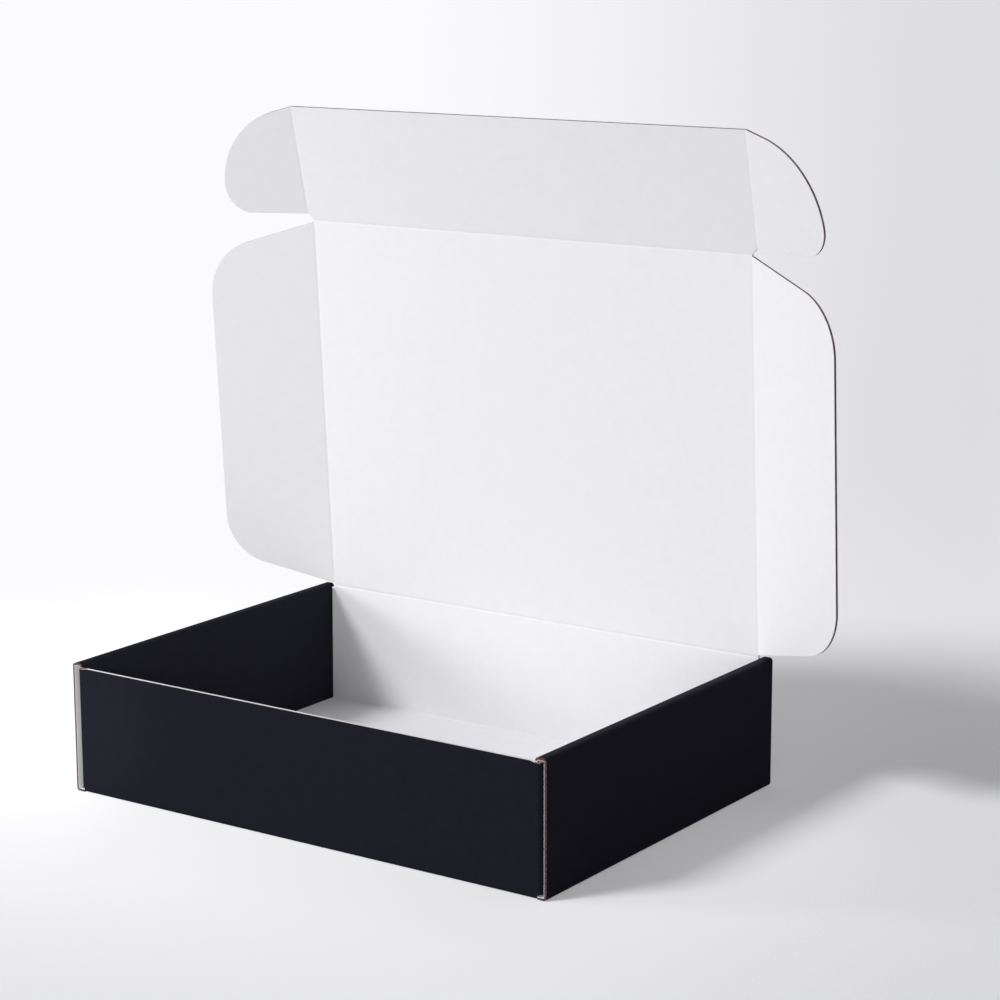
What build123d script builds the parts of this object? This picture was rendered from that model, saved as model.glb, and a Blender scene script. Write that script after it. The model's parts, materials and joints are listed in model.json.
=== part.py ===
from build123d import *

import os
from math import cos, radians, sin, tan

# Mailer box, die cut and creased from one sheet of E-flute board, shown open.
# Frame: the origin is the middle of the tray's underside, +X is to the right of
# the front wall, +Y points to the back wall, where the lid hangs, +Z is up.
# The sheet is divided only at the creases that work when the box is opened and
# closed. Everything that stays folded for good is the tray, one folded piece.

# Board
board = 1.5  # thickness of the sheet
inner_bend = 0.5  # inside radius of a folded crease
crease_gap = 0.3  # play between two panels along a working crease
fold_gap = 0.2  # play between two plies that lie against each other

# Tray
width = 330.0  # outside, over both side walls
depth = 236.0  # outside, front wall to back wall
height = 77.4  # to the top of the rolled side walls
ear_slot = 2.3  # room for an ear between the outer side wall and an end flap
front_drop = 2.4  # top of the front wall below the rolls
hinge_drop = 0.6  # lid crease below the top of the rolls
inner_wall_play = 0.4  # inner side wall to front wall and to back wall
inner_wall_taper = 1.0  # how much its ends lean in towards the floor

# End flaps of the front and back walls, caught inside the side walls
end_flap_length = 62.0  # reach along the side wall
end_flap_drop = 1.2  # top of an end flap below the front wall
end_flap_lift = 1.0  # underside of an end flap above the floor
end_flap_taper = 4.0  # how much it narrows at each side, out to its tip
corner_ease = 4.5  # length of the slope from the wall's top to the end flap

# Locking tabs of the rolled side walls, and their slots in the floor
tab_count = 2
tab_length = 32.0
tab_pitch = 112.0
tab_lead = 1.5  # how much each flank of a tab leans in from root to tip
tab_play = 0.4  # slot larger than the tab, on every side

# Lid
wing_play = 1.7  # wing crease to the inner side wall, inside which the wing closes
lid_overhang = 1.2  # lid longer than the tray is deep, to close past the front wall
lid_lean = -3.6  # degrees back from upright, as it stands open
lip = 0.24  # thickness left at the crushed edges of the lid crease
lip_gap = 0.5  # play between those two edges

# Wings of the lid
wing_floor_play = 2.35  # free edge of a closed wing above the floor
wing_fold = {"left": 17.4, "right": 23.2}  # degrees forward from flat
wing_foot = 1.2  # lower edge above the lid crease, at the wing crease
wing_head = 1.0  # upper edge below the tuck crease, at the wing crease
wing_foot_slope = 14.0  # degrees that the lower edge rises away from the lid
wing_head_slope = 16.2  # degrees that the upper edge falls away from the lid
wing_foot_round = 32.0
wing_head_round = 36.0

# Tuck flap and its ears
ear_play = 1.1  # ear crease inside the outer face of the end flaps
tuck_lift = 3.05  # lower edge of the closed tuck flap above the ground
tuck_fold = 9.8  # degrees forward from the plane of the lid
ear_foot = 3.9  # lower edge above the tuck crease, at the ear crease
ear_reach = 53.9
ear_fold = {"left": 14.2, "right": 16.5}  # degrees forward from flat
ear_head_slope = 13.0  # degrees that the upper edge falls at first
ear_shoulder = 14.0  # where the straight upper edge turns into the round
ear_widest = 24.0  # height of the widest point above the tuck crease
ear_heel = (40.0, 5.4)  # where the round meets the straight lower edge

# What follows from these sizes
half_width = width / 2
half_depth = depth / 2
bend = board + inner_bend
front_height = height - front_drop
hinge_height = height - hinge_drop
wall_inside = half_depth - board
outer_wall_inside = half_width - board
end_flap_outside = outer_wall_inside - ear_slot
end_flap_inside = end_flap_outside - board
inner_wall_outside = end_flap_inside - fold_gap
inner_wall_inside = inner_wall_outside - board
wall_end = end_flap_outside - bend  # where front and back wall start to bend
lid_half_width = inner_wall_inside - wing_play
lid_length = depth + lid_overhang
closed_height = hinge_height - board / 2  # inside of the lid above the ground, when shut
wing_depth = closed_height - board - wing_floor_play
tuck_half_width = end_flap_outside - ear_play
tuck_height = closed_height - tuck_lift
roll_foot = (height - bend + front_height) / 2  # where the roll becomes the inner wall
half_gap = crease_gap / 2

# Floor, front wall and back wall: one strip with two folds. Its upper corners
# slope down to the end flaps, so that the flaps pass under the rolls.
with BuildPart() as strip:
    with BuildSketch(Plane.YZ):
        with BuildLine():
            FilletPolyline(
                (-half_depth, front_height),
                (-half_depth, 0),
                (half_depth, 0),
                (half_depth, front_height),
                radius=bend,
            )
            Line((half_depth, front_height), (wall_inside, front_height))
            FilletPolyline(
                (wall_inside, front_height),
                (wall_inside, board),
                (-wall_inside, board),
                (-wall_inside, front_height),
                radius=inner_bend,
            )
            Line((-wall_inside, front_height), (-half_depth, front_height))
        make_face()
    extrude(amount=wall_end, both=True)
    with BuildSketch(Plane.XZ):
        with BuildLine():
            Polyline(
                (wall_end - corner_ease, front_height),
                (wall_end, front_height),
                (wall_end, front_height - end_flap_drop),
                close=True,
            )
        make_face()
        mirror(about=Plane.YZ)
    extrude(amount=half_depth, both=True, mode=Mode.SUBTRACT)

# The back wall goes on up to the lid crease, between the rolls, and ends in a
# crushed edge.
with BuildPart() as back_top:
    with BuildSketch(Plane.XY.offset(front_height)):
        with Locations((0, half_depth - board / 2)):
            Rectangle(2 * lid_half_width, board)
    extrude(amount=hinge_height - lip_gap / 2 - front_height)
    chamfer(
        back_top.edges().filter_by(Axis.X).group_by(Axis.Z)[-1],
        length=(board - lip) / 2,
    )

# Edge of the floor, outer side wall and roll: one strip with three folds. The
# roll is as wide as the plies and the ear that it covers.
with BuildPart() as side_roll:
    with BuildSketch(Plane.XZ):
        with BuildLine():
            FilletPolyline(
                (wall_end, 0),
                (half_width, 0),
                (half_width, height),
                (inner_wall_inside, height),
                (inner_wall_inside, roll_foot),
                radius=bend,
            )
            Line((inner_wall_inside, roll_foot), (inner_wall_outside, roll_foot))
            FilletPolyline(
                (inner_wall_outside, roll_foot),
                (inner_wall_outside, height - board),
                (outer_wall_inside, height - board),
                (outer_wall_inside, board),
                (wall_end, board),
                radius=inner_bend,
            )
            Line((wall_end, board), (wall_end, 0))
        make_face()
    extrude(amount=half_depth, both=True)

# Inner side wall, which hangs from the roll down to the floor. Its tabs go
# through the floor and hold the roll down.
with BuildPart() as inner_wall:
    wall_foot = board + fold_gap
    head_reach = wall_inside - inner_wall_play
    foot_reach = head_reach - inner_wall_taper
    tab_root = wall_foot + bend
    tab_tip = fold_gap
    with BuildSketch(Plane.YZ.offset(inner_wall_inside)):
        with BuildLine():
            Polyline(
                (-head_reach, roll_foot),
                (head_reach, roll_foot),
                (foot_reach, wall_foot),
                (-foot_reach, wall_foot),
                close=True,
            )
        make_face()
        with GridLocations(tab_pitch, 1, tab_count, 1):
            Polygon(
                (-tab_length / 2, tab_root),
                (tab_length / 2, tab_root),
                (tab_length / 2 - tab_lead, tab_tip),
                (-tab_length / 2 + tab_lead, tab_tip),
                align=None,
            )
    extrude(amount=board)

# End flap at the right end of the front wall: round the corner and back along
# the inner side wall.
with BuildPart() as end_flap:
    tip = end_flap_length - half_depth
    flap_foot = board + end_flap_lift
    flap_head = front_height - end_flap_drop
    with BuildSketch(Plane.XY.offset(flap_foot)):
        with BuildLine():
            FilletPolyline(
                (wall_end - board, -half_depth),
                (end_flap_outside, -half_depth),
                (end_flap_outside, tip),
                radius=bend,
            )
            Line((end_flap_outside, tip), (end_flap_inside, tip))
            FilletPolyline(
                (end_flap_inside, tip),
                (end_flap_inside, -wall_inside),
                (wall_end - board, -wall_inside),
                radius=inner_bend,
            )
            Line((wall_end - board, -wall_inside), (wall_end - board, -half_depth))
        make_face()
    extrude(amount=flap_head - flap_foot)
    with BuildSketch(Plane.YZ.offset(wall_end - board)):
        with BuildLine():
            Polyline(
                (-half_depth, flap_foot),
                (-half_depth, flap_head),
                (bend - half_depth, flap_head),
                (tip, flap_head - end_flap_taper),
                (tip, flap_foot + end_flap_taper),
                (bend - half_depth, flap_foot),
                close=True,
            )
        make_face()
    extrude(amount=board + bend, mode=Mode.INTERSECT)

with BuildPart() as tray:
    add(strip.part)
    add(back_top.part)
    add(side_roll.part)
    mirror(side_roll.part, about=Plane.YZ)
    with BuildSketch(Plane.XY):
        slot_middle = (inner_wall_inside + inner_wall_outside) / 2
        with GridLocations(2 * slot_middle, tab_pitch, 2, tab_count):
            Rectangle(board + 2 * tab_play, tab_length + 2 * tab_play)
    extrude(amount=board, mode=Mode.SUBTRACT)
    add(inner_wall.part)
    mirror(inner_wall.part, about=Plane.YZ)
    front_right = end_flap.part
    back_right = mirror(front_right, about=Plane.XZ, mode=Mode.PRIVATE)
    for flap in (front_right, back_right):
        add(flap)
        mirror(flap, about=Plane.YZ)


# The panels above the lid crease lie in planes of their own. In each, x runs
# along or away from the crease, y runs up the panel, and the inside of the box
# faces +z for the lid, the tuck flap and what hangs at their right.
def panel_axes(lean):
    """Directions up a panel that leans back by some degrees, and out of its inside."""
    up = Vector(0, sin(radians(lean)), cos(radians(lean)))
    inward = Vector(0, -cos(radians(lean)), sin(radians(lean)))
    return up, inward


def side_plane(base, sign, fold, up, inward):
    """The inside of a flap at a side crease, folded inward by some degrees."""
    away = Vector(sign * cos(radians(fold)), 0, 0) + inward * sin(radians(fold))
    return Plane(origin=base, x_dir=away, z_dir=away.cross(up))


lid_up, lid_inward = panel_axes(lid_lean)
tuck_up, tuck_inward = panel_axes(lid_lean - tuck_fold)
lid_crease = Vector(0, half_depth - board / 2, hinge_height)
lid_plane = Plane(lid_crease + lid_inward * (board / 2), x_dir=(1, 0, 0), z_dir=lid_inward)
tuck_plane = Plane(
    lid_plane.origin + lid_up * lid_length, x_dir=(1, 0, 0), z_dir=tuck_inward
)

with BuildPart() as lid:
    with BuildSketch(lid_plane):
        with Locations((0, (lip_gap / 2 + lid_length - half_gap) / 2)):
            Rectangle(
                2 * (lid_half_width - half_gap),
                lid_length - half_gap - lip_gap / 2,
            )
    extrude(amount=-board)
    chamfer(
        lid.edges().filter_by(Axis.X).sort_by(Axis.Z)[:2],
        length=(board - lip) / 2,
    )

with BuildPart() as tuck_flap:
    with BuildSketch(tuck_plane):
        with BuildLine():
            Polyline(
                (0, half_gap),
                (lid_half_width, half_gap),
                (tuck_half_width - half_gap, ear_foot),
                (tuck_half_width - half_gap, tuck_height),
                (0, tuck_height),
            )
            mirror(about=Plane.YZ)
        make_face()
    extrude(amount=-board)


def wing_outline():
    """A lid wing: two sloped edges, a straight free edge and two round corners."""
    foot_rise = tan(radians(wing_foot_slope))
    head_fall = tan(radians(wing_head_slope))
    foot = wing_foot
    head = lid_length - wing_head
    FilletPolyline(
        (half_gap, foot + half_gap * foot_rise),
        (wing_depth, foot + wing_depth * foot_rise),
        (wing_depth, head - wing_depth * head_fall),
        (half_gap, head - half_gap * head_fall),
        radius=[wing_foot_round, wing_head_round],
    )
    Line((half_gap, head - half_gap * head_fall), (half_gap, foot + half_gap * foot_rise))


def ear_outline():
    """An ear: a curved cam, widest near the tuck crease, so that it swings into its slot."""
    fall = radians(ear_head_slope)
    head = (half_gap, tuck_height)
    shoulder = (ear_shoulder, tuck_height - ear_shoulder * tan(fall))
    widest = (ear_reach, ear_widest)
    foot = (half_gap, ear_foot)
    Line(head, shoulder)
    cam = TangentArc(shoulder, widest, tangent=(cos(fall), -sin(fall)))
    TangentArc(widest, ear_heel, tangent=cam % 1)
    Line(ear_heel, foot)
    Line(foot, head)


def side_flap(base, sign, fold, up, inward, outline):
    """A flap hung at a side crease, cut to an outline and folded inward."""
    with BuildPart() as flap:
        with BuildSketch(side_plane(base, sign, fold, up, inward)):
            with BuildLine():
                outline()
            make_face()
        extrude(amount=-sign * board)
    return flap.part


pieces = {"tray": tray.part, "lid": lid.part, "tuck_flap": tuck_flap.part}
for name, sign in (("left", -1), ("right", 1)):
    wing_base = lid_plane.origin + Vector(sign * lid_half_width, 0, 0)
    pieces[name + "_wing"] = side_flap(
        wing_base, sign, wing_fold[name], lid_up, lid_inward, wing_outline
    )
    ear_base = tuck_plane.origin + Vector(sign * tuck_half_width, 0, 0)
    pieces[name + "_ear"] = side_flap(
        ear_base, sign, ear_fold[name], tuck_up, tuck_inward, ear_outline
    )

os.makedirs("parts", exist_ok=True)
for name, piece in pieces.items():
    piece.label = name
    export_step(piece, "parts/" + name + ".step")
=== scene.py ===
import json
import math

import bmesh
import bpy
import numpy as np
from bpy.props import FloatProperty, FloatVectorProperty, IntProperty, PointerProperty
from mathutils import Matrix, Vector


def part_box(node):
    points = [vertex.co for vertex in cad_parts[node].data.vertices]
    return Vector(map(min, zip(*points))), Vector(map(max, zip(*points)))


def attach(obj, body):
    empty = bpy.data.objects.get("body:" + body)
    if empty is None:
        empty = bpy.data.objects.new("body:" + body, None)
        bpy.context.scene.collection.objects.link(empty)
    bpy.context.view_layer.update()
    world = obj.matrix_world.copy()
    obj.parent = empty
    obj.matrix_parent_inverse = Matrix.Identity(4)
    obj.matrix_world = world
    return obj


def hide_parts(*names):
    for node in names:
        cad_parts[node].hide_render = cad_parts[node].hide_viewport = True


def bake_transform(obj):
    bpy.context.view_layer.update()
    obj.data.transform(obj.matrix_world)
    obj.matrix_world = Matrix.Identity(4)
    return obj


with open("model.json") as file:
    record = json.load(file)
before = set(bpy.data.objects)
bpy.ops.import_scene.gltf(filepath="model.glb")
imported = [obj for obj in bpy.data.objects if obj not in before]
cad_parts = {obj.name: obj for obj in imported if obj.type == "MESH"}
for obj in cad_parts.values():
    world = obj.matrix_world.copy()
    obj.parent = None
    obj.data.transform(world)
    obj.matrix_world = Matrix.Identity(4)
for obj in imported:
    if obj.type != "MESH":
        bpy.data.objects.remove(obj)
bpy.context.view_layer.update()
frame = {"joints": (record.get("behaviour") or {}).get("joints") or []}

bl_info = {
    "name": "Folded mailer box",
    "version": (1, 0, 0),
    "blender": (4, 5, 0),
    "location": "View3D > Sidebar > Mailer box",
    "description": "Three-ply board, creases, print and studio for a folded mailer box",
    "category": "Object",
}

# The frame: the tray's highest corner, the creases and how far out two lie
TRAY_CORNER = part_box("tray")[1]
JOINTS = {joint["name"]: joint for joint in frame["joints"]}
WING_X = JOINTS["right_wing_crease"]["pos_m"][0]
EAR_X = JOINTS["right_ear_crease"]["pos_m"][0]

MM = 0.001
X = np.array([1.0, 0.0, 0.0])
FORWARD = np.array([0.0, -1.0, 0.0])
Z = np.array([0.0, 0.0, 1.0])
SIDES = (("left", -1), ("right", 1))

# Finishes of a face, by their place in a piece's material slots
WHITE, PRINT, KRAFT, EDGE, RIM = range(5)


def linear(code):
    """The linear colour of an sRGB hex code such as 'F0F0F2'."""
    channels = [int(code[i:i + 2], 16) / 255 for i in (0, 2, 4)]
    return [c / 12.92 if c <= 0.04045 else ((c + 0.055) / 1.055) ** 2.4 for c in channels]


def length_property(name, millimetres, description):
    """A length that the user may change, kept in metres."""
    return FloatProperty(name=name, description=description, default=millimetres * MM,
                         min=0.0, precision=5, unit="LENGTH", subtype="DISTANCE")


def angle_property(name, degrees, description):
    return FloatProperty(name=name, description=description, default=math.radians(degrees),
                         unit="ROTATION", subtype="ANGLE")


def colour_property(name, code, description):
    return FloatVectorProperty(name=name, description=description, default=linear(code),
                               min=0.0, max=1.0, size=3, subtype="COLOR")


def strength_property(name, strength, description, unit="NONE"):
    return FloatProperty(name=name, description=description, default=strength, min=0.0,
                         unit=unit)


def steps_property(name, steps, description):
    return IntProperty(name=name, description=description, default=steps, min=1)


class BoardSettings(bpy.types.PropertyGroup):
    """E-flute board: its plies, its flutes and how it folds."""
    thickness: length_property("Thickness", 1.5, "Printed face to white face")
    liner: length_property("Liner", 0.2, "Thickness of each flat liner")
    medium: length_property("Medium", 0.16, "Thickness of the fluted paper between the liners")
    flute_pitch: length_property("Flute pitch", 3.39, "Crest to crest, 295 flutes in a metre")
    flute_steps: steps_property("Flute steps", 10, "Points along one flute")
    bend: length_property("Bend", 2.0, "Outside radius of a fold")
    bend_steps: steps_property("Bend steps", 8, "Facets round a fold")


class FinishSettings(bpy.types.PropertyGroup):
    """Colours of the board."""
    print_colour: colour_property("Print", "1D1D26", "Solid print of the outside")
    white_colour: colour_property("White liner", "EBEBED", "Inside of the board")
    kraft_colour: colour_property("Kraft", "8C7470", "Fluted paper, backs of the liners")
    edge_colour: colour_property("Liner edge", "7A625C", "Cut edge of the printed liner")
    # Also painted on all plies of the front wall's crushed top edge, where it is a painted
    # highlight in part
    rim_colour: colour_property("White edge", "E2DDE1", "Cut edge of the white liner")


class TraySettings(bpy.types.PropertyGroup):
    """The tray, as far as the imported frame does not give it."""
    ear_slot: length_property("Ear slot", 2.3, "Outer side wall to end flap")
    ply_play: length_property("Ply play", 0.2, "Between two plies that lie together")
    front_drop: length_property("Front drop", 2.4, "Front wall below the rolled side walls")
    wall_play: length_property("Wall play", 0.4, "Inner side wall to front and back wall")
    wall_taper: length_property("Wall taper", 1.0, "Its ends lean in towards the floor")
    corner_ease: length_property("Corner ease", 4.5, "Slope from the wall's top to the flap")
    flap_reach: length_property("Flap reach", 62.0, "End flap along the side wall")
    flap_drop: length_property("Flap drop", 1.2, "End flap below the front wall")
    flap_lift: length_property("Flap lift", 1.0, "End flap above the floor")
    flap_taper: length_property("Flap taper", 4.0, "Narrowing of an end flap at each side")
    bead: length_property("Bead", 0.7, "Reach of the lifted inner liner, beside a fold")
    # Also how wide the front wall's top edge is painted pale, in part as a painted highlight
    rim_bevel: length_property("Rim bevel", 0.12, "Slant of the front wall's crushed top edge")
    tab_length: length_property("Tab length", 32.0, "Locking tab, at its root")
    tab_pitch: length_property("Tab pitch", 112.0, "Between the two tabs of a side wall")
    tab_lead: length_property("Tab lead", 1.5, "Each flank leans in, root to tip")
    tab_play: length_property("Tab play", 0.4, "Slot larger than the tab, all round")


class LidSettings(bpy.types.PropertyGroup):
    """Wings, tuck flap and ears, and the creases between them."""
    crease_reach: length_property("Crease reach", 1.3, "Crushed board beside a crease")
    crease_inside: length_property("Inside groove", 0.07, "Depth of the score, inside")
    crease_outside: length_property("Outside groove", 0.12, "Depth of the score, outside")
    lid_groove: length_property("Lid groove", 0.16, "Depth of the lid crease, on both faces")
    crease_steps: steps_property("Crease steps", 14, "Facets across a crease")
    wing_depth: length_property("Wing depth", 72.2, "Crease to free edge")
    wing_foot: length_property("Wing foot", 1.2, "Lower edge above the lid crease")
    wing_head: length_property("Wing head", 1.0, "Upper edge below the tuck crease")
    wing_foot_slope: angle_property("Foot slope", 14.0, "Rise of a wing's lower edge")
    wing_head_slope: angle_property("Head slope", 16.2, "Fall of a wing's upper edge")
    wing_foot_round: length_property("Foot round", 32.0, "Radius of a wing's lower corner")
    wing_head_round: length_property("Head round", 36.0, "Radius of a wing's upper corner")
    tuck_height: length_property("Tuck height", 73.0, "Tuck crease to free edge")
    ear_foot: length_property("Ear foot", 3.9, "Lower edge above the tuck crease")
    ear_reach: length_property("Ear reach", 53.9, "Crease to the widest point")
    ear_widest: length_property("Ear widest", 24.0, "Height of that point")
    ear_shoulder: length_property("Ear shoulder", 14.0, "Where the upper edge starts to curve")
    ear_heel_reach: length_property("Heel reach", 40.0, "Where the curve meets the lower edge")
    ear_heel_rise: length_property("Heel rise", 5.4, "Height of that point")
    ear_head_slope: angle_property("Ear slope", 13.0, "Fall of an ear's upper edge at first")
    outline_steps: steps_property("Outline steps", 28, "Points round a curve")


class StageSettings(bpy.types.PropertyGroup):
    """Camera and studio."""
    azimuth: angle_property("Azimuth", 34.799, "Camera's heading, to the left of the depth")
    elevation: angle_property("Elevation", 12.176, "How far the camera looks down")
    roll: angle_property("Roll", -0.159, "Turn about the line of sight")
    camera_x: length_property("Camera x", 932.27, "To the right of the box")
    camera_y: FloatProperty(name="Camera y", description="Towards the back of the box",
                            default=-1.26305, unit="LENGTH", subtype="DISTANCE")
    camera_z: length_property("Camera z", 510.81, "Above the floor")
    lens: FloatProperty(name="Lens", description="Focal length on a 36 mm sensor, in mm",
                        default=100.92)
    floor_colour: colour_property("Floor", "F2F2F4", "Paper floor")
    floor_bounce: FloatProperty(name="Floor bounce", default=0.52, min=0.0, max=1.0,
                                description="Share of its light that the floor gives back")
    glow_left: strength_property("Glow left", 0.385, "Light of the floor itself, at the left")
    glow_right: strength_property("Glow right", 0.15, "The same at the right")
    glow_near: strength_property("Glow near", 0.45, "Share of it left in front of the box")
    key_heading: angle_property("Key heading", 37.0, "Where the key is, left of the front")
    key_height: angle_property("Key height", 42.0, "Its height over the floor")
    key_spread: angle_property("Key spread", 17.0, "How wide it is, for a soft shadow")
    key_strength: strength_property("Key", 1.78, "Sheet light over the left shoulder")
    low_heading: angle_property("Low heading", 50.0, "Where the low light is, in the same way")
    low_height: angle_property("Low height", 7.0, "Its height over the floor")
    low_spread: angle_property("Low spread", 58.0, "Width of its beam")
    low_radius: length_property("Low radius", 170.0, "How wide it is, for a soft shadow")
    low_distance: length_property("Low distance", 1300.0, "From the lid")
    low_power: strength_property("Low", 21.5, "Window light from the left", "POWER")
    fill_heading: angle_property("Fill heading", -30.0, "Where the fill is, in the same way")
    fill_height: angle_property("Fill height", 7.0, "Its height over the floor")
    fill_spread: angle_property("Fill spread", 30.0, "How wide it is")
    fill_strength: strength_property("Fill", 1.0, "Reflector at the right")
    corner_heading: angle_property("Corner heading", -36.0, "Where the corner light is")
    corner_height: angle_property("Corner height", 14.0, "Its height over the corner")
    corner_distance: length_property("Corner distance", 1500.0, "From the corner")
    corner_spread: angle_property("Corner spread", 5.0, "Width of its beam")
    corner_radius: length_property("Corner radius", 20.0, "How wide it is")
    corner_power: strength_property("Corner", 42.0, "Narrow lamp on the left slot", "POWER")
    sky_colour: colour_property("Sky colour", "FBFAFF", "Tint of the soft light")
    sky_strength: strength_property("Sky", 0.24, "Soft light from all round")


# Meshes


POINT_DIGITS = 7  # decimals of a metre at which two points become one
RUN_DIGITS = 9  # decimals at which two stations of a fold become one
OUTLINE_DIGITS = 8  # the same for two columns of an outline
TINY = 1e-9  # metres that rounding may add to a run
HAIR = 1e-7  # metres between two stations that are still kept apart
SLIVER = 0.02  # share of a gap between two columns, too thin for a facet of its own
BEAD_STEPS = 2  # stations beside a fold, on the flank of its bead
SHARP = 28.0  # degrees between two facets that still read as one curve


class Plies:
    """Gathers the sheets of paper that make up one piece."""

    def __init__(self):
        self.points = []
        self.runs = []
        self.faces = []
        self.finishes = []

    def slab(self, runs, near, far, near_finish, far_finish, edge_finish):
        """A closed sheet between two grids of points. Points that meet become one."""
        known = {}
        index = []
        for grid in (np.asarray(near), np.asarray(far)):
            rows = []
            for run, line, keys in zip(runs, grid, np.round(grid, POINT_DIGITS)):
                row = []
                for point, key in zip(line, map(tuple, keys)):
                    if key not in known:
                        known[key] = len(self.points)
                        self.points.append(point)
                        self.runs.append(run)
                    row.append(known[key])
                rows.append(row)
            index.append(rows)
        near, far = index
        last_row, last_column = len(near) - 1, len(near[0]) - 1
        for i in range(last_row):
            for j in range(last_column):
                for grid, finish in ((near, near_finish), (far, far_finish)):
                    corners = (grid[i][j], grid[i + 1][j], grid[i + 1][j + 1], grid[i][j + 1])
                    self.face(corners, finish)
            for j in (0, last_column):
                self.face((near[i][j], near[i + 1][j], far[i + 1][j], far[i][j]), edge_finish)
        for j in range(last_column):
            for i in (0, last_row):
                self.face((near[i][j], near[i][j + 1], far[i][j + 1], far[i][j]), edge_finish)

    def face(self, corners, finish):
        corners = [c for c, before in zip(corners, corners[-1:] + corners[:-1]) if c != before]
        if len(set(corners)) > 2:
            self.faces.append(corners)
            self.finishes.append(finish)

    def board(self, columns, place, settings, crushed=0.0):
        """The three plies of a stretch of board.

        A column is a run, the place across the flutes, and its points along them.
        place(run, along, depth) gives a point, with the depth from the printed face.
        crushed is how far the first edge is pressed shut, so that no flute shows there. The
        printed liner's cut edges and the crushed strip's cut faces are then painted pale as a
        painted highlight; only the white liner's edge is pale of itself.
        """
        whole, liner = settings.thickness, settings.liner
        runs = [run for run, _ in columns]

        def sheet(depth, stations=columns):
            return [[place(run, along, depth) for along in line] for run, line in stations]

        # With a crushed edge, the printed liner's cut edges are painted pale: a painted
        # highlight, not the liner's own colour
        self.slab(runs, sheet(0.0), sheet(liner), PRINT, KRAFT, RIM if crushed else EDGE)
        self.slab(runs, sheet(whole - liner), sheet(whole), KRAFT, WHITE, RIM)
        if crushed:
            # The crushed strip between the liners, its cut faces painted pale as a painted
            # highlight
            rim = [(run, [line[0], line[0] + crushed]) for run, line in columns]
            self.slab(runs, sheet(liner, rim), sheet(whole - liner, rim), KRAFT, KRAFT, RIM)
            columns = [(run, [line[0] + crushed] + line[1:]) for run, line in columns]
        fine = fluted(columns, settings.flute_pitch / settings.flute_steps)
        height = (whole - 2 * liner - settings.medium) / 2
        wave = 2 * math.pi / settings.flute_pitch
        faces = []
        for side in (-1, 1):
            grid = []
            for run, line in fine:
                slope = height * wave * math.cos(wave * run)
                half = settings.medium / 2 * math.hypot(1.0, slope)
                middle = whole / 2 + height * math.sin(wave * run)
                depth = min(max(middle + side * half, liner), whole - liner)
                grid.append([place(run, along, depth) for along in line])
            faces.append(grid)
        self.slab([run for run, _ in fine], faces[0], faces[1], KRAFT, KRAFT, KRAFT)

    def piece(self, name, body, *nodes):
        """The finished object, which rides on a body and stands for CAD nodes."""
        mesh = bpy.data.meshes.new(name)
        mesh.from_pydata([tuple(p) for p in self.points], [], self.faces)
        mesh.polygons.foreach_set("material_index", self.finishes)
        run = mesh.attributes.new("run", "FLOAT", "POINT")
        run.data.foreach_set("value", np.array(self.runs, np.float32))
        work = bmesh.new()
        work.from_mesh(mesh)
        bmesh.ops.recalc_face_normals(work, faces=work.faces)
        work.to_mesh(mesh)
        work.free()
        mesh.shade_smooth()
        mesh.set_sharp_from_angle(angle=math.radians(SHARP))
        for finish in finishes():
            mesh.materials.append(finish)
        made = bpy.data.objects.new(name, mesh)
        bpy.context.scene.collection.objects.link(made)
        if nodes:
            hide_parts(*nodes)
        if body:
            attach(made, body)
        return made


def fluted(columns, step):
    """The columns with others put in between, a step apart, for the curve of the flutes."""
    fine = []
    for (run, line), (next_run, next_line) in zip(columns, columns[1:]):
        fine.append((run, line))
        first = math.floor(run / step) + 1
        last = math.ceil(next_run / step) - 1
        for k in range(first, last + 1):
            share = (k * step - run) / (next_run - run)
            if SLIVER < share < 1 - SLIVER:
                between = [a + share * (b - a) for a, b in zip(line, next_line)]
                fine.append((k * step, between))
    fine.append(columns[-1])
    return fine


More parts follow.
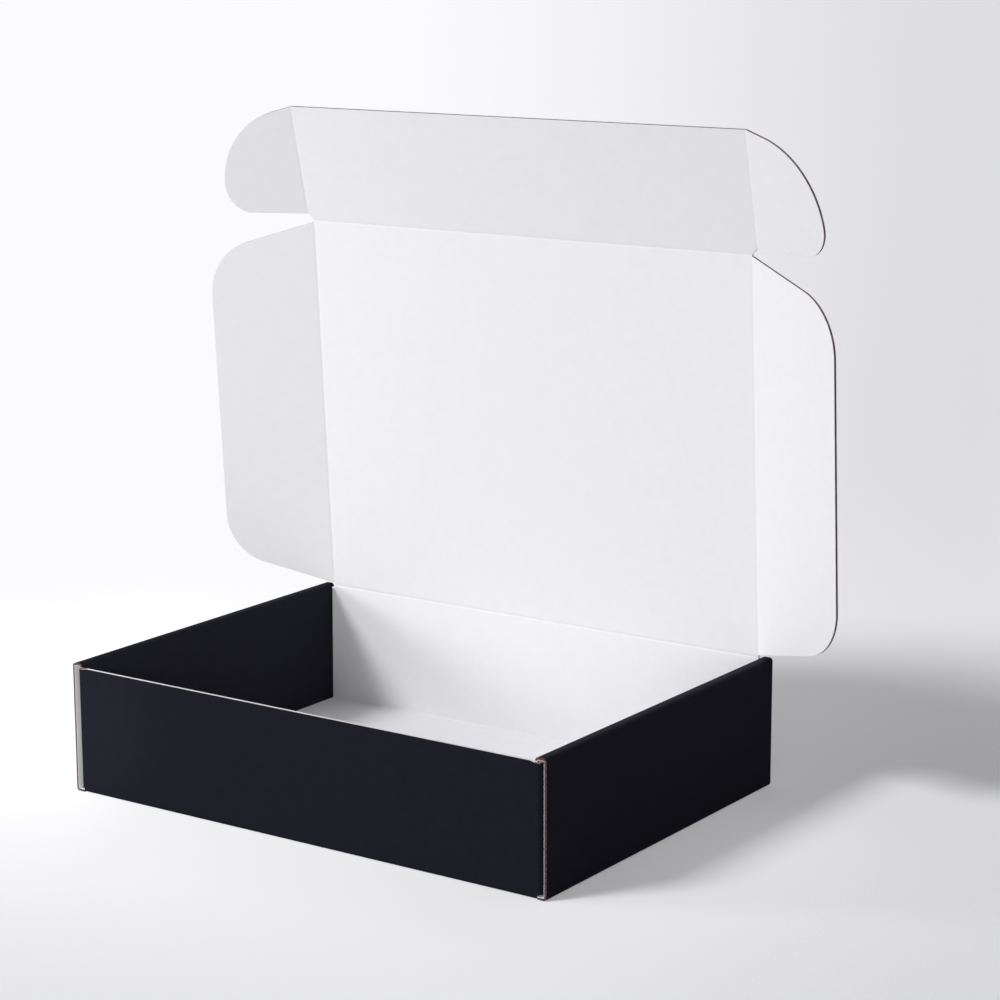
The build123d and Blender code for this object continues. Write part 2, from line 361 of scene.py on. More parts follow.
class Fold:
    """The printed side of a strip folded about parallel creases, in its section."""

    def __init__(self, corners, radius, steps, beside=0.0):
        corners = [np.array(c, float) for c in corners]
        self.parts = []
        self.stations = [0.0]
        flank = [beside * k / BEAD_STEPS for k in range(1, BEAD_STEPS + 1)]
        here, run = corners[0], 0.0
        for before, corner, after in zip(corners, corners[1:], corners[2:]):
            ahead = unit(corner - before)
            turned = unit(after - corner)
            start = corner - ahead * radius
            run = self.straight(here, ahead, run, np.linalg.norm(start - here))
            self.parts.append((run, start, ahead, radius))
            bend = quarter(radius)
            self.stations += [run + bend * k / steps for k in range(steps + 1)]
            self.stations += [run - f for f in flank] + [run + bend + f for f in flank]
            run += bend
            here = corner + turned * radius
        self.length = self.straight(here, turned, run, np.linalg.norm(corners[-1] - here))
        self.stations.append(self.length)
        self.stations = sorted(set(round(s, RUN_DIGITS) for s in self.stations))

    def straight(self, start, ahead, run, length):
        self.parts.append((run, start, ahead, 0.0))
        return run + length

    def at(self, run, depth):
        """The point at a run along the strip, at a depth below the printed face."""
        begin, start, ahead, radius = [p for p in self.parts if p[0] <= run + TINY][-1]
        left = np.array([-ahead[1], ahead[0]])
        if not radius:
            return start + ahead * (run - begin) + left * depth
        turn = (run - begin) / radius
        out = ahead * math.sin(turn) - left * math.cos(turn)
        return start + left * radius + out * (radius - depth)

    def bead(self, run, inside, eased):
        """How far a crease lifts the inner liner, when it eases its radius to a larger one."""
        grown = eased - inside
        middle = grown * math.sqrt(2)
        for begin, _, _, radius in self.parts:
            bend = quarter(radius)
            past = max(begin - run, run - begin - bend, 0.0)
            if radius and past == 0.0:
                turn = abs((run - begin) / bend - 0.5) * math.pi / 2
                across = middle * math.sin(turn)
                return inside + middle * math.cos(turn) - math.sqrt(eased ** 2 - across ** 2)
            if radius and past < grown:
                return eased - math.sqrt(eased ** 2 - (grown - past) ** 2)
        return 0.0

    def between(self, low, high):
        """The stations from one run to another, both included."""
        return [low] + [s for s in self.stations if low + HAIR < s < high - HAIR] + [high]


def quarter(radius):
    """The length of the printed face round a right-angled bend."""
    return radius * math.pi / 2


def unit(vector):
    return vector / np.linalg.norm(vector)


# Tray


class TrayShape:
    """Sizes that the tray's strips share."""

    def __init__(self, board, tray):
        self.half_width, self.half_depth, self.height = TRAY_CORNER
        t = board.thickness
        self.front_height = self.height - tray.front_drop
        self.flap_outside = self.half_width - t - tray.ear_slot
        self.flap_inside = self.flap_outside - t
        self.wall_outside = self.flap_inside - tray.ply_play
        self.wall_inside = self.wall_outside - t
        self.wall_end = self.flap_outside - board.bend
        self.hinge = JOINTS["lid_crease"]["pos_m"][2]
        self.roll_foot = (self.height - board.bend + self.front_height) / 2
        self.slot_low = self.wall_inside - tray.tab_play
        self.slot_high = self.wall_outside + tray.tab_play
        reach = tray.tab_length / 2 + tray.tab_play
        self.tabs = (-tray.tab_pitch / 2, tray.tab_pitch / 2)
        self.slots = [(middle - reach, middle + reach) for middle in self.tabs]

    def around_slots(self, low, high):
        """The stretches of the floor between its slots, from one depth to another."""
        edges = [low] + [y for slot in self.slots for y in slot] + [high]
        return list(zip(edges[::2], edges[1::2]))


def add_walls_and_floor(plies, shape, board, tray, crease_reach):
    """Front wall, floor and back wall, one strip with its flutes along it."""
    front, back = -shape.half_depth, shape.half_depth
    fold = Fold([(front, shape.front_height), (front, 0), (back, 0), (back, shape.hinge)],
                board.bend, board.bend_steps, tray.bead)
    inside = board.bend - board.thickness
    floor_start = shape.front_height + board.bend * (math.pi / 2 - 1)
    ease = shape.wall_end - tray.corner_ease

    def place(x, along, depth):
        share = depth / board.thickness
        lift = fold.bead(along, inside, inside + tray.bead)
        y, z = fold.at(along, depth + share ** 2 * lift)
        slope = max(0.0, 1 - (along - front_top(x)) / tray.rim_bevel)
        return (x, y, z - slope * tray.rim_bevel * (1 - share))

    def top(x):
        past = max(0.0, abs(x) - ease)
        return shape.front_height - past / tray.corner_ease * tray.flap_drop

    def front_top(x):
        return shape.front_height - top(x)

    def back_top(z):
        return fold.length - (shape.hinge - z)

    def on_floor(y):
        return floor_start + y - (front + board.bend)

    crease = shape.hinge - crease_reach
    right = [(ease, crease), (WING_X, crease)]
    right += [(x, top(x)) for x in (WING_X, shape.slot_low)]
    left = [(-x, z) for x, z in reversed(right)]
    columns = [(x, fold.between(front_top(x), back_top(z))) for x, z in left + right]
    # The front wall's top edge is bevelled, crushed and painted pale: the white liner's own
    # edge, and a painted highlight on the other plies
    plies.board(columns, place, board, tray.rim_bevel)
    for side in (-1, 1):
        ends = sorted((side * shape.slot_low, side * shape.wall_end))
        for low, high in shape.around_slots(None, None):
            strip = []
            for x in ends:
                start = front_top(x) if low is None else on_floor(low)
                end = back_top(top(x)) if high is None else on_floor(high)
                strip.append((x, fold.between(start, end)))
            plies.board(strip, place, board)


def add_side_wall(plies, shape, board, tray, side):
    """Edge of the floor, outer wall, roll and inner wall, with the flutes across the strip."""
    tab_tip = tray.ply_play
    wall_foot = board.thickness + tray.ply_play
    fold = Fold([(shape.wall_end, 0), (shape.half_width, 0), (shape.half_width, shape.height),
                 (shape.wall_inside, shape.height), (shape.wall_inside, tab_tip)],
                board.bend, board.bend_steps)

    def place(run, y, depth):
        x, z = fold.at(run, depth)
        return (side * x, y, z)

    def down(z):
        return fold.length - (z - tab_tip)

    full = shape.half_depth
    head = full - board.thickness - tray.wall_play
    foot = head - tray.wall_taper
    slot_edge = shape.slot_high - shape.wall_end
    for low, high in shape.around_slots(-full, full):
        plies.board([(0.0, [low, high]), (slot_edge, [low, high])], place, board)
    roll_end = down(shape.roll_foot)
    columns = [(run, [-full, full]) for run in fold.between(slot_edge, roll_end)]
    for run, reach in ((roll_end, head), (down(wall_foot), foot)):
        columns.append((run, [-reach, reach]))
    plies.board(columns, place, board)
    root = wall_foot + board.bend
    for middle in shape.tabs:
        tab = []
        for z in (wall_foot, tab_tip):
            reach = tray.tab_length / 2 - tray.tab_lead * (root - z) / (root - tab_tip)
            tab.append((down(z), [middle - reach, middle + reach]))
        plies.board(tab, place, board)


def add_end_flap(plies, shape, board, tray, side, end):
    """End flap, round the corner from the front or back wall, with upright flutes."""
    tip = tray.flap_reach - shape.half_depth
    fold = Fold([(shape.wall_end, -shape.half_depth), (shape.flap_outside, -shape.half_depth),
                 (shape.flap_outside, tip)], board.bend, board.bend_steps)

    def place(run, z, depth):
        x, y = fold.at(run, depth)
        return (side * x, -end * y, z)

    foot = board.thickness + tray.flap_lift
    head = shape.front_height - tray.flap_drop
    bend_end = quarter(board.bend)
    columns = []
    for run in fold.stations:
        narrow = max(0.0, run - bend_end) / (fold.length - bend_end) * tray.flap_taper
        columns.append((run, [foot + narrow, head - narrow]))
    plies.board(columns, place, board)


class BOX_OT_tray(bpy.types.Operator):
    """Folds the tray: floor, walls, rolled side walls, locking tabs and end flaps"""
    bl_idname = "mailer_box.tray"
    bl_label = "Tray"

    def execute(self, context):
        scene = context.scene
        board, tray = scene.mailer_board, scene.mailer_tray
        shape = TrayShape(board, tray)
        plies = Plies()
        add_walls_and_floor(plies, shape, board, tray, scene.mailer_lid.crease_reach)
        for side in (-1, 1):
            add_side_wall(plies, shape, board, tray, side)
            for end in (-1, 1):
                add_end_flap(plies, shape, board, tray, side, end)
        plies.piece("tray_board", "tray", "tray")
        return {"FINISHED"}


# Panels above the lid crease


class Panel:
    """A flat panel: its inside crease line, the ways along it and up it, and out of it."""

    def __init__(self, base, along, up, side=1):
        self.base = np.array(base, float)
        self.along = unit(np.array(along, float))
        self.up = unit(np.array(up, float))
        self.inside = side * np.cross(self.along, self.up)

    def point(self, thickness):
        def place(run, rise, depth):
            return (self.base + self.along * run + self.up * rise
                    - self.inside * (thickness - depth))
        return place

    def folded(self, joint, side):
        """The panel that hangs from a crease at the side, folded in as it rests."""
        fold = -math.radians(joint["range_deg"][0])
        along = side * X * math.cos(fold) + self.inside * math.sin(fold)
        return Panel(joint["pos_m"], along, self.up, side)


def lid_panel():
    wing = JOINTS["left_wing_crease"]
    base = np.array(wing["pos_m"]) * (0, 1, 1)
    return Panel(base, X, wing["axis"])


def tuck_panel():
    return Panel(JOINTS["tuck_crease"]["pos_m"], X, JOINTS["left_ear_crease"]["axis"])


def lid_length():
    hinge = np.array(JOINTS["right_wing_crease"]["pos_m"])
    tuck = np.array(JOINTS["tuck_crease"]["pos_m"])
    return float(np.linalg.norm((tuck - hinge)[1:]))


def tuck_edge(lid, x):
    """Lower edge of the tuck flap: level to the wing crease, then up to the ear."""
    return max(0.0, abs(x) - WING_X) / (EAR_X - WING_X) * lid.ear_foot


def ear_rise(lid):
    """Slope of an ear's lower edge."""
    return (lid.ear_heel_rise - lid.ear_foot) / lid.ear_heel_reach


def arc(start, direction, end, steps):
    """Points of the arc from start, left out, to end, and the direction that it ends in."""
    start, end = np.array(start, float), np.array(end, float)
    direction = unit(np.array(direction, float))
    chord = end - start
    normal = np.array([-direction[1], direction[0]])
    radius = chord @ chord / (2 * (chord @ normal))
    centre = start + normal * radius
    turn = 2 * math.atan2(chord @ normal, chord @ direction)
    points = []
    for k in range(1, steps + 1):
        angle = turn * k / steps
        points.append(centre - normal * radius * math.cos(angle)
                      + direction * radius * math.sin(angle))
    leaving = direction * math.cos(turn) + normal * math.sin(turn)
    return points, leaving


def rounded(before, corner, after, radius, steps):
    """Points of a rounded corner."""
    before, corner, after = (np.array(p, float) for p in (before, corner, after))
    into, out = unit(before - corner), unit(after - corner)
    half = math.acos(np.clip(into @ out, -1, 1)) / 2
    start = corner + into * radius / math.tan(half)
    return [start] + arc(start, -into, corner + out * radius / math.tan(half), steps)[0]


def columns_of(low_edge, high_edge):
    """Columns between a lower and an upper edge, each a list of points that run outwards."""
    low, high = np.array(low_edge), np.array(high_edge)
    runs = np.concatenate([low[:, 0], high[:, 0]])
    runs = sorted(set(np.round(runs, OUTLINE_DIGITS)))
    return [(run, [np.interp(run, *low.T), np.interp(run, *high.T)]) for run in runs]


def wing_columns(lid, length, start):
    """A wing's outline: two sloped edges, a straight free edge and two round corners."""
    rise, fall = math.tan(lid.wing_foot_slope), math.tan(lid.wing_head_slope)
    foot, head, reach = lid.wing_foot, length - lid.wing_head, lid.wing_depth
    low, low_corner = (start, foot + start * rise), (reach, foot + reach * rise)
    high, high_corner = (start, head - start * fall), (reach, head - reach * fall)
    steps = lid.outline_steps
    low_round = rounded(low, low_corner, high_corner, lid.wing_foot_round, steps)
    high_round = rounded(high, high_corner, low_corner, lid.wing_head_round, steps)
    return columns_of([low] + low_round, [high] + high_round)


def ear_columns(lid, start):
    """An ear's outline: a cam, widest near the tuck crease."""
    slope, steps = lid.ear_head_slope, lid.outline_steps
    head, shoulder = ((x, lid.tuck_height - x * math.tan(slope))
                      for x in (start, lid.ear_shoulder))
    widest = (lid.ear_reach, lid.ear_widest)
    heel = (lid.ear_heel_reach, lid.ear_heel_rise)
    foot = (start, lid.ear_foot + start * ear_rise(lid))
    upper, leaving = arc(shoulder, (math.cos(slope), -math.sin(slope)), widest, steps)
    lower, _ = arc(widest, leaving, heel, steps)
    outline = np.array([head, shoulder] + upper + lower + [foot])
    turn = int(np.argmax(outline[:, 0]))
    return columns_of(outline[turn:][::-1], outline[:turn + 1])


def add_panel(body, panel, columns, board):
    """A flat piece of board, with its own body and CAD node."""
    plies = Plies()
    plies.board(columns, panel.point(board.thickness), board)
    plies.piece(f"{body}_board", body, body)


class BOX_OT_lid(bpy.types.Operator):
    """Cuts the lid's main panel"""
    bl_idname = "mailer_box.lid"
    bl_label = "Lid"

    def execute(self, context):
        board, lid = context.scene.mailer_board, context.scene.mailer_lid
        reach = lid.crease_reach
        side = WING_X - reach
        rises = [reach, lid_length() - reach]
        add_panel("lid", lid_panel(), [(-side, rises), (side, rises)], board)
        return {"FINISHED"}


class BOX_OT_tuck_flap(bpy.types.Operator):
    """Cuts the tuck flap"""
    bl_idname = "mailer_box.tuck_flap"
    bl_label = "Tuck flap"

    def execute(self, context):
        board, lid = context.scene.mailer_board, context.scene.mailer_lid
        reach = lid.crease_reach
        lifted = WING_X + reach / lid.ear_foot * (EAR_X - WING_X)
        side = EAR_X - reach
        columns = [(x, [max(reach, tuck_edge(lid, x)), lid.tuck_height])
                   for x in (-side, -lifted, lifted, side)]
        add_panel("tuck_flap", tuck_panel(), columns, board)
        return {"FINISHED"}


class BOX_OT_side_flaps(bpy.types.Operator):
    """Cuts the two wings of the lid and the two ears of the tuck flap"""
    bl_idname = "mailer_box.side_flaps"
    bl_label = "Wings and ears"

    def execute(self, context):
        board, lid = context.scene.mailer_board, context.scene.mailer_lid
        wing = wing_columns(lid, lid_length(), lid.crease_reach)
        ear = ear_columns(lid, lid.crease_reach)
        flaps = (("wing", lid_panel(), wing), ("ear", tuck_panel(), ear))
        for kind, parent, columns in flaps:
            for name, side in SIDES:
                body = f"{name}_{kind}"
                panel = parent.folded(JOINTS[f"{body}_crease"], side)
                add_panel(body, panel, columns, board)
        return {"FINISHED"}


# Creases: crushed board between two panels, folded as the box stands open


def smooth(share):
    share = min(max(share, 0.0), 1.0)
    return share * share * (3 - 2 * share)


def add_crease(joint, across, inside, ends, board, lid, grooves, axis_depth):
    """A crease from its parent's panel to its child's.

    across is the way from the parent to the child, inside the way out of the parent's
    white face. ends(offset) gives where the crease starts and stops along its axis.
    axis_depth is the depth of the hinge line below the printed face.
    """
    t, reach, steps = board.thickness, lid.crease_reach, lid.crease_steps
    axis = unit(np.cross(inside, across))
    centre = np.array(joint["pos_m"])
    fold = rest_fold(joint)

    def turned(vector, angle):
        return (vector * math.cos(angle) + np.cross(axis, vector) * math.sin(angle)
                + axis * (axis @ vector) * (1 - math.cos(angle)))

    def place(offset, along, depth):
        flat = across * offset + inside * (depth - axis_depth)
        angle = fold * smooth((offset + reach) / (2 * reach))
        return centre + turned(flat, -angle) + axis * along

    def score(offset):
        return math.cos(math.pi * offset / (2 * reach)) ** 2

    offsets = [reach * (2 * k / steps - 1) for k in range(steps + 1)]
    outer = [grooves[0] * score(o) for o in offsets]
    inner = [t - grooves[1] * score(o) for o in offsets]
    liner = board.liner
    depths = (outer, [d + liner for d in outer], [d - liner for d in inner], inner)
    sheets = [[[place(o, along, d) for along in ends(o)] for o, d in zip(offsets, line)]
              for line in depths]
    plies = Plies()
    looks = ((PRINT, KRAFT, EDGE), (KRAFT, KRAFT, KRAFT), (KRAFT, WHITE, RIM))
    for near, far, look in zip(sheets, sheets[1:], looks):
        plies.slab(offsets, near, far, *look)
    made = plies.piece(joint["name"] + "_board", None)
    end = centre + turned(across * reach, -fold)
    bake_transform(made)


def rest_fold(joint):
    """How far a crease is folded in as the box stands open."""
    if joint["name"] == "lid_crease":
        up = np.array(JOINTS["left_wing_crease"]["axis"])
        return math.atan2(-up[1], up[2])
    return -math.radians(joint["range_deg"][0])


class BOX_OT_creases(bpy.types.Operator):
    """Scores the six creases that work when the box is opened and closed"""
    bl_idname = "mailer_box.creases"
    bl_label = "Creases"

    def execute(self, context):
        board, lid = context.scene.mailer_board, context.scene.mailer_lid
        t, reach = board.thickness, lid.crease_reach
        light = (lid.crease_outside, lid.crease_inside)
        lid_plane, tuck_plane = lid_panel(), tuck_panel()
        length = lid_length()

        def lid_ends(offset):
            return [-WING_X, WING_X]

        def tuck_ends(offset):
            side = WING_X + max(0.0, offset) / lid.ear_foot * (EAR_X - WING_X)
            return [-side, side]

        def wing_ends(offset):
            out = max(0.0, offset)
            low = reach if offset < 0 else lid.wing_foot + out * math.tan(lid.wing_foot_slope)
            high = length - (reach if offset < 0 else lid.wing_head)
            return [low, high - out * math.tan(lid.wing_head_slope)]

        def ear_ends(offset):
            out = max(0.0, offset)
            low = tuck_edge(lid, EAR_X + min(0.0, offset)) + out * ear_rise(lid)
            return [low, lid.tuck_height - out * math.tan(lid.ear_head_slope)]

        add_crease(JOINTS["lid_crease"], Z, FORWARD, lid_ends, board, lid,
                   (lid.lid_groove, lid.lid_groove), t / 2)
        add_crease(JOINTS["tuck_crease"], lid_plane.up, lid_plane.inside, tuck_ends,
                   board, lid, light, t)
        flaps = (("wing", lid_plane, wing_ends), ("ear", tuck_plane, ear_ends))
        for kind, plane, ends in flaps:
            for name, side in SIDES:
                joint = JOINTS[f"{name}_{kind}_crease"]

                def along_axis(offset, side=side, ends=ends):
                    return [side * e for e in ends(offset)]

                add_crease(joint, side * X, plane.inside, along_axis, board, lid, light, t)
        return {"FINISHED"}


# Materials


FIBRE_CLOUD = 7.0  # mm, the clouds in which paper's fibres settle
# The fibres themselves are about 0.03 mm wide: too fine to be seen, so they are drawn coarser
PAPER_GRAIN = 0.45  # mm
FLOOR_GRAIN = 1.3  # mm
FLOOR_CLOUD = 0.05  # how far the floor's grain strays from its colour


def add_node(tree, kind, settings=None, inputs=None):
    """A node with its settings, and its inputs set to values or linked to sockets."""
    made = tree.nodes.new(kind)
    for key, value in (settings or {}).items():
        setattr(made, key, value)
    for key, value in (inputs or {}).items():
        if isinstance(value, bpy.types.NodeSocket):
            tree.links.new(value, made.inputs[key])
        else:
            made.inputs[key].default_value = value
    return made


def per_metre(millimetres):
    """The scale of a texture whose grain is that large."""
    return 1 / (millimetres * MM)


def cleared(owner):
    """The node tree of a material or a world, emptied."""
    owner.use_nodes = True
    owner.node_tree.nodes.clear()
    return owner.node_tree


def noise(tree, place, grain, detail, roughness):
    """A noise with its grain in mm."""
    return add_node(tree, "ShaderNodeTexNoise", {}, {
        "Vector": place, "Scale": per_metre(grain), "Detail": detail,
        "Roughness": roughness}).outputs["Fac"]


def mottled(tree, colour, pattern, spread, cloud):
    """A colour times a tone that strays from 1 by cloud, as the pattern does by spread."""
    tone = add_node(tree, "ShaderNodeMapRange", {}, {
        "Value": pattern, "From Min": 0.5 - spread, "From Max": 0.5 + spread,
        "To Min": 1.0 - cloud, "To Max": 1.0 + cloud})
    return add_node(tree, "ShaderNodeMix", {"data_type": "RGBA", "blend_type": "MULTIPLY"}, {
        "Factor": 1.0, 6: colour, 7: tone.outputs["Result"]}).outputs[2]


def paper(name, colour, roughness, specular, cloud, tooth, flutes):
    """A sheet of paper board.

    cloud is how much its fibres vary in tone, tooth the height of its grain in mm, and
    flutes how far the flutes below show through, in mm.
    """
    material = bpy.data.materials.new(name)
    tree = cleared(material)
    place = add_node(tree, "ShaderNodeTexCoord").outputs["Object"]
    formation = noise(tree, place, FIBRE_CLOUD, detail=5.0, roughness=0.62)
    mixed = mottled(tree, (*colour, 1.0), formation, spread=0.2, cloud=cloud)
    grain = noise(tree, place, PAPER_GRAIN, detail=3.0, roughness=0.55)
    bump = add_node(tree, "ShaderNodeBump", {}, {
        "Strength": 1.0, "Distance": tooth * MM, "Height": grain})
    if flutes:
        run = add_node(tree, "ShaderNodeAttribute", {"attribute_name": "run"}).outputs["Fac"]
        pitch = bpy.context.scene.mailer_board.flute_pitch
        turns = add_node(tree, "ShaderNodeMath", {"operation": "MULTIPLY"}, {
            0: run, 1: 2 * math.pi / pitch})
        wave = add_node(tree, "ShaderNodeMath", {"operation": "SINE"}, {0: turns.outputs[0]})
        bump = add_node(tree, "ShaderNodeBump", {}, {
            "Strength": 1.0, "Distance": flutes * MM, "Height": wave.outputs[0],
            "Normal": bump.outputs["Normal"]})
    shader = add_node(tree, "ShaderNodeBsdfPrincipled", {}, {
        "Base Color": mixed, "Roughness": roughness, "IOR": 1.5,
        "Specular IOR Level": specular, "Normal": bump.outputs["Normal"]})
    add_node(tree, "ShaderNodeOutputMaterial", {}, {"Surface": shader.outputs["BSDF"]})
    return material


def finishes():
    """The finishes of the board, made once, in the order of WHITE, PRINT, KRAFT, EDGE, RIM."""
    colours = bpy.context.scene.mailer_finish
    # Colour, roughness, specular level, cloud, tooth and flutes, as paper takes them
    looks = {
        # Bleached, machine-finished top liner: matt white, with a faint cloud of fibres
        "bleached_liner": (colours.white_colour, 0.85, 0.25, 0.012, 0.006, 0.004),
        # Flooded black print with a matt varnish over liner: flat, deep, barely a sheen
        "matt_black_print": (colours.print_colour, 0.6, 0.03, 0.06, 0.006, 0.006),
        # Recycled fluting paper: open, mottled brown
        "kraft_medium": (colours.kraft_colour, 0.95, 0.1, 0.12, 0.02, 0.0),
        # Knife-cut edge of the printed liner: rough, stained by the ink
        "kraft_liner_edge": (colours.edge_colour, 0.95, 0.1, 0.15, 0.03, 0.0),
        # Knife-cut edge of the bleached liner; on a crushed edge also the cut faces of the
        # other plies, where it is a painted highlight
        "bleached_liner_edge": (colours.rim_colour, 0.9, 0.1, 0.08, 0.03, 0.0),
    }
    return [bpy.data.materials.get(name) or paper(name, *look) for name, look in looks.items()]


# Stage


FLOOR_SIDE = 60.0  # metres, so that the floor ends beyond the horizon of every view
NEAREST = 1.2  # metres ahead of the camera from where the floor's glow is graded
GLOW_ACROSS = (-0.0535, 0.178)  # tangents left and right of the line of sight
GLOW_DOWN = (0.06, 0.178)  # tangents below it
SKY_SEEN = 0.86  # brightness of the sky where the camera sees it
LOW_AIM = 3  # where the low light meets the open lid, in heights of the tray
SENSOR = 36.0  # mm
FARTHEST = 80.0  # metres that the camera sees


def sight(stage):
    """Right, up and ahead as the camera has them."""
    azimuth, elevation = stage.azimuth, stage.elevation
    ahead = Vector((-math.sin(azimuth) * math.cos(elevation),
                    math.cos(azimuth) * math.cos(elevation), -math.sin(elevation)))
    right = Vector((math.cos(azimuth), math.sin(azimuth), 0.0))
    up = right.cross(ahead)
    rolled = right * math.cos(stage.roll) + up * math.sin(stage.roll)
    upright = up * math.cos(stage.roll) - right * math.sin(stage.roll)
    return rolled, upright, ahead


def floor_paper(stage):
    """Matt paper floor that glows for the camera like a lit backdrop, more at the left."""
    material = bpy.data.materials.new("paper_floor")
    tree = cleared(material)
    seen = add_node(tree, "ShaderNodeLightPath").outputs["Is Camera Ray"]
    place = add_node(tree, "ShaderNodeTexCoord").outputs["Object"]
    from_camera = add_node(tree, "ShaderNodeVectorMath", {"operation": "SUBTRACT"}, {
        0: place, 1: (stage.camera_x, stage.camera_y, stage.camera_z)}).outputs["Vector"]

    def along(direction):
        return add_node(tree, "ShaderNodeVectorMath", {"operation": "DOT_PRODUCT"}, {
            0: from_camera, 1: direction}).outputs["Value"]

    right, up, ahead = sight(stage)
    distance = along(ahead)
    depth = add_node(tree, "ShaderNodeMath", {"operation": "MAXIMUM"}, {
        0: distance, 1: NEAREST}).outputs[0]

    def eased(value, start, stop, first, last):
        return add_node(tree, "ShaderNodeMapRange", {"interpolation_type": "SMOOTHSTEP"}, {
            "Value": value, "From Min": start, "From Max": stop,
            "To Min": first, "To Max": last}).outputs["Result"]

    def graded(direction, tangents, first, last):
        slope = add_node(tree, "ShaderNodeMath", {"operation": "DIVIDE"}, {
            0: along(direction), 1: depth}).outputs[0]
        return eased(slope, *tangents, first, last)

    def evened(strength):
        mean = (stage.glow_left + stage.glow_right) / 2
        return eased(distance, 0.0, NEAREST, mean, strength)

    across = graded(right, GLOW_ACROSS, evened(stage.glow_left), evened(stage.glow_right))
    down = graded(-up, GLOW_DOWN, 1.0, stage.glow_near)
    glow = add_node(tree, "ShaderNodeMath", {"operation": "MULTIPLY"}, {0: across, 1: down})
    shown = add_node(tree, "ShaderNodeMath", {"operation": "MULTIPLY"}, {
        0: glow.outputs[0], 1: seen})
    dim = [c * stage.floor_bounce for c in stage.floor_colour]
    colour = add_node(tree, "ShaderNodeMix", {"data_type": "RGBA"}, {
        "Factor": seen, 6: (*dim, 1.0), 7: (*stage.floor_colour, 1.0)})
    grain = noise(tree, place, FLOOR_GRAIN, detail=2.0, roughness=0.6)
    grained = mottled(tree, colour.outputs[2], grain, spread=0.25, cloud=FLOOR_CLOUD)
    matt = add_node(tree, "ShaderNodeBsdfDiffuse", {}, {"Color": grained})
    light = add_node(tree, "ShaderNodeEmission", {}, {"Strength": shown.outputs[0]})
    both = add_node(tree, "ShaderNodeAddShader", {}, {
        0: matt.outputs["BSDF"], 1: light.outputs["Emission"]})
    add_node(tree, "ShaderNodeOutputMaterial", {}, {"Surface": both.outputs["Shader"]})
    return material


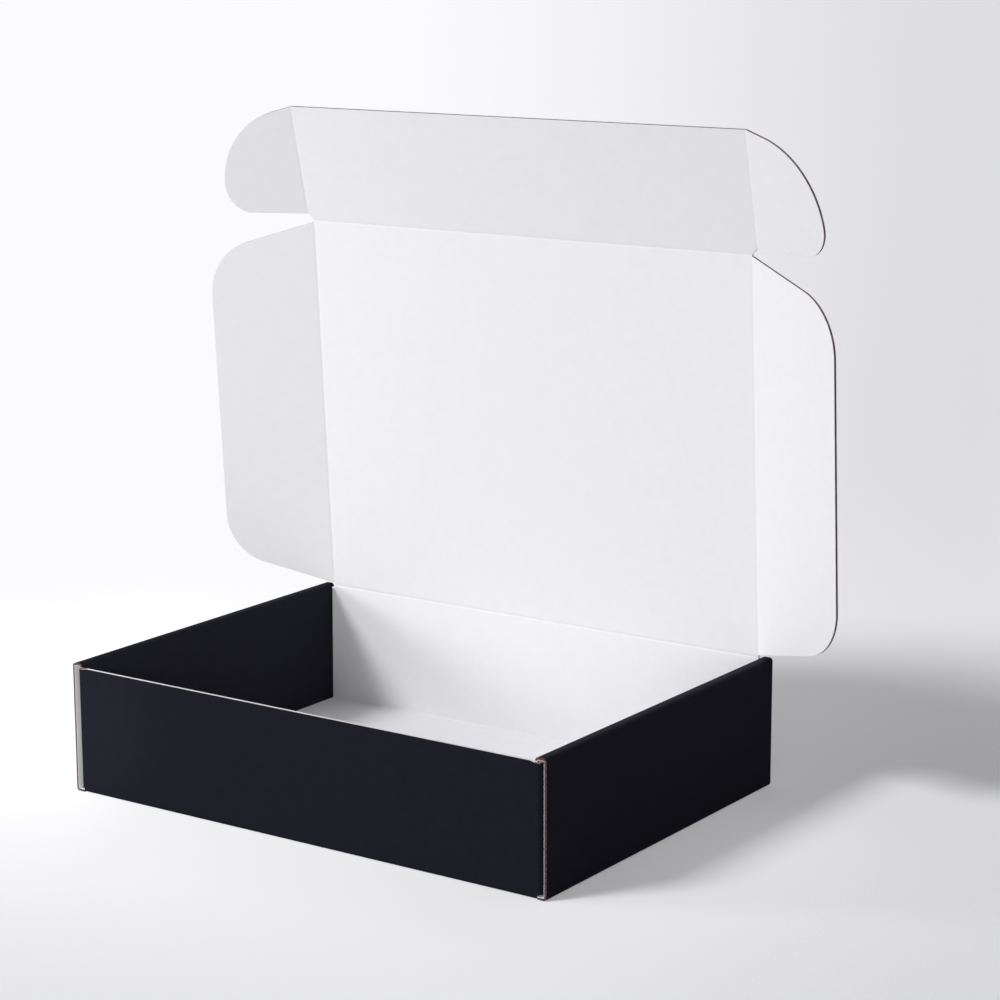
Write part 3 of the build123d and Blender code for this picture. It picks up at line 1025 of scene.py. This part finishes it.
class BOX_OT_stage(bpy.types.Operator):
    """Sets the paper floor, the lights and the camera"""
    bl_idname = "mailer_box.stage"
    bl_label = "Stage"

    def execute(self, context):
        scene, stage = context.scene, context.scene.mailer_stage
        self.floor(stage)
        self.lights(scene, stage)
        self.camera(scene, stage)
        scene.view_settings.view_transform = "Standard"
        return {"FINISHED"}

    def floor(self, stage):
        side = FLOOR_SIDE / 2
        mesh = bpy.data.meshes.new("paper_floor")
        corners = [(-side, -side, 0), (side, -side, 0), (side, side, 0), (-side, side, 0)]
        mesh.from_pydata(corners, [], [(0, 1, 2, 3)])
        mesh.materials.append(floor_paper(stage))
        floor = bpy.data.objects.new("paper_floor", mesh)
        bpy.context.scene.collection.objects.link(floor)

    def lights(self, scene, stage):
        x, y, z = TRAY_CORNER
        aims = {"low": Vector((0.0, y, LOW_AIM * z)), "corner": Vector((-x, -y, z / 2))}
        kinds = {"key": "SUN", "low": "SPOT", "fill": "SUN", "corner": "SPOT"}
        for name, kind in kinds.items():
            lamp = bpy.data.lights.new(f"{name}_light", kind)
            heading = getattr(stage, f"{name}_heading")
            height = getattr(stage, f"{name}_height")
            towards = Vector((math.sin(heading) * math.cos(height),
                              math.cos(heading) * math.cos(height), -math.sin(height)))
            light = bpy.data.objects.new(f"{name}_light", lamp)
            light.rotation_euler = towards.to_track_quat("-Z", "Y").to_euler()
            scene.collection.objects.link(light)
            spread = getattr(stage, f"{name}_spread")
            if kind == "SUN":
                lamp.angle = spread
                lamp.energy = getattr(stage, f"{name}_strength")
                continue
            light.location = aims[name] - towards * getattr(stage, f"{name}_distance")
            light.visible_camera = False
            lamp.energy = getattr(stage, f"{name}_power")
            lamp.spot_size = spread
            lamp.spot_blend = 1.0
            lamp.shadow_soft_size = getattr(stage, f"{name}_radius")
        scene.world = bpy.data.worlds.new("studio")
        tree = cleared(scene.world)
        seen = add_node(tree, "ShaderNodeLightPath").outputs["Is Camera Ray"]
        strength = add_node(tree, "ShaderNodeMix", {"data_type": "FLOAT"}, {
            "Factor": seen, 2: stage.sky_strength, 3: SKY_SEEN})
        sky = add_node(tree, "ShaderNodeBackground", {}, {
            "Color": (*stage.sky_colour, 1.0), "Strength": strength.outputs[0]})
        add_node(tree, "ShaderNodeOutputWorld", {}, {"Surface": sky.outputs["Background"]})

    def camera(self, scene, stage):
        right, up, ahead = sight(stage)
        data = bpy.data.cameras.new("camera")
        data.lens = stage.lens
        data.sensor_width = SENSOR
        data.clip_end = FARTHEST
        camera = bpy.data.objects.new("camera", data)
        turn = Matrix((right, up, -ahead)).transposed().to_4x4()
        place = Vector((stage.camera_x, stage.camera_y, stage.camera_z))
        camera.matrix_world = Matrix.Translation(place) @ turn
        scene.collection.objects.link(camera)
        scene.camera = camera


class BOX_PT_panel(bpy.types.Panel):
    """Steps that build the box and its studio"""
    bl_idname = "BOX_PT_mailer_box"
    bl_label = "Mailer box"
    bl_space_type = "VIEW_3D"
    bl_region_type = "UI"
    bl_category = "Mailer box"

    def draw(self, context):
        layout = self.layout
        for name in SETTINGS:
            box = layout.box()
            group = getattr(context.scene, name)
            for key in group.bl_rna.properties.keys():
                if key not in ("rna_type", "name"):
                    box.prop(group, key)
        for operator in OPERATORS:
            layout.operator(operator.bl_idname)


SETTINGS = {
    "mailer_board": BoardSettings,
    "mailer_finish": FinishSettings,
    "mailer_tray": TraySettings,
    "mailer_lid": LidSettings,
    "mailer_stage": StageSettings,
}
OPERATORS = [BOX_OT_tray, BOX_OT_lid, BOX_OT_tuck_flap, BOX_OT_side_flaps, BOX_OT_creases,
             BOX_OT_stage]


def register():
    for group in SETTINGS.values():
        bpy.utils.register_class(group)
    for name, group in SETTINGS.items():
        setattr(bpy.types.Scene, name, PointerProperty(type=group))
    for operator in OPERATORS:
        bpy.utils.register_class(operator)
    bpy.utils.register_class(BOX_PT_panel)


def unregister():
    bpy.utils.unregister_class(BOX_PT_panel)
    for operator in reversed(OPERATORS):
        bpy.utils.unregister_class(operator)
    for name, group in SETTINGS.items():
        delattr(bpy.types.Scene, name)
        bpy.utils.unregister_class(group)


def main():
    register()
    bpy.ops.mailer_box.tray()
    bpy.ops.mailer_box.lid()
    bpy.ops.mailer_box.tuck_flap()
    bpy.ops.mailer_box.side_flaps()
    bpy.ops.mailer_box.creases()
    bpy.ops.mailer_box.stage()


if __name__ == "__main__":
    main()
